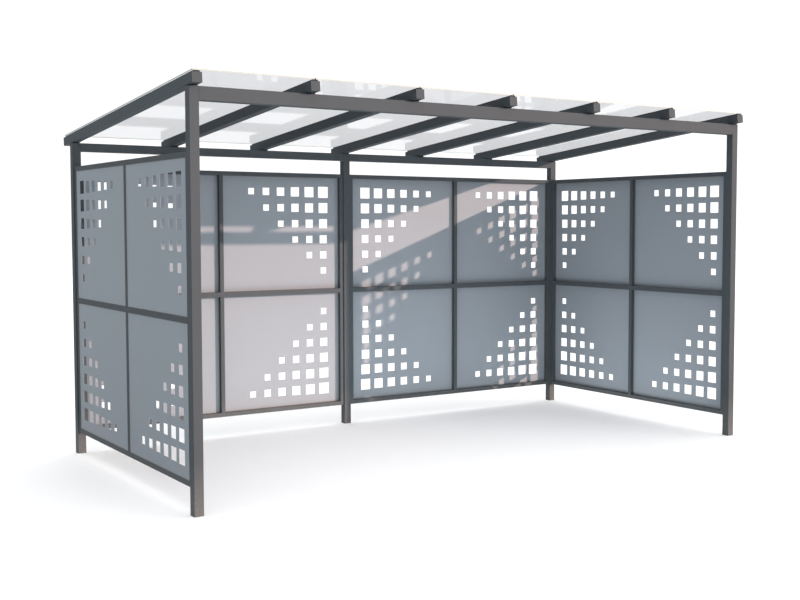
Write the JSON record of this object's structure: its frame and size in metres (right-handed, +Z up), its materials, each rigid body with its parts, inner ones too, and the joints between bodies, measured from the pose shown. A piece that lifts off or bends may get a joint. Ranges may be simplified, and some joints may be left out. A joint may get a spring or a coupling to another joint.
{
  "type": "bike_shelter",
  "caption": "Open-fronted bike shelter with perforated metal walls, a dark steel frame and a sloping glass roof on rafters.",
  "frame": {"origin": "Middle of the footprint of the whole shelter, rafters included, on the ground.", "axes": "+X along the length of the shelter, to the right as seen from its open front; +Y from the open front to the back wall; +Z up."},
  "size_m": [4.455, 2.4252, 2.5024],
  "materials": {
    "frame_paint": "satin powder coat, anthracite",
    "sheet_paint": "matte powder coat, light blue-grey",
    "roof_glass": "clear toughened sheet, faint green edge",
    "glazing_rubber": "black extruded rubber",
    "packer_rubber": "black solid rubber"
  },
  "bodies": {
    "root": {"front_left_post": "frame_paint", "front_right_post": "frame_paint", "rear_left_post": "frame_paint", "rear_middle_post": "frame_paint", "rear_right_post": "frame_paint", "post_foot_plates": "frame_paint", "post_cap_plates": "frame_paint", "front_beam": "frame_paint", "rear_left_beam": "frame_paint", "rear_right_beam": "frame_paint", "front_rafter_packers": "packer_rubber", "rear_rafter_packers": "packer_rubber", "rafter_1": "frame_paint", "rafter_2": "frame_paint", "rafter_3": "frame_paint", "rafter_4": "frame_paint", "rafter_5": "frame_paint", "rafter_6": "frame_paint", "rafter_7": "frame_paint", "rafter_front_caps": "frame_paint", "rafter_rear_caps": "frame_paint", "glazing_strips": "glazing_rubber", "roof_glass_1": "roof_glass", "roof_glass_2": "roof_glass", "roof_glass_3": "roof_glass", "roof_glass_4": "roof_glass", "roof_glass_5": "roof_glass", "roof_glass_6": "roof_glass", "glass_joint_seals": "glazing_rubber", "left_wall_rails": "frame_paint", "left_wall_uprights": "frame_paint", "left_wall_upper_sheets": "sheet_paint", "left_wall_lower_sheets": "sheet_paint", "back_left_wall_rails": "frame_paint", "back_left_wall_uprights": "frame_paint", "back_left_wall_upper_sheets": "sheet_paint", "back_left_wall_lower_sheets": "sheet_paint", "back_right_wall_rails": "frame_paint", "back_right_wall_uprights": "frame_paint", "back_right_wall_upper_sheets": "sheet_paint", "back_right_wall_lower_sheets": "sheet_paint", "right_wall_rails": "frame_paint", "right_wall_uprights": "frame_paint", "right_wall_upper_sheets": "sheet_paint", "right_wall_lower_sheets": "sheet_paint"}
  },
  "joints": []
}
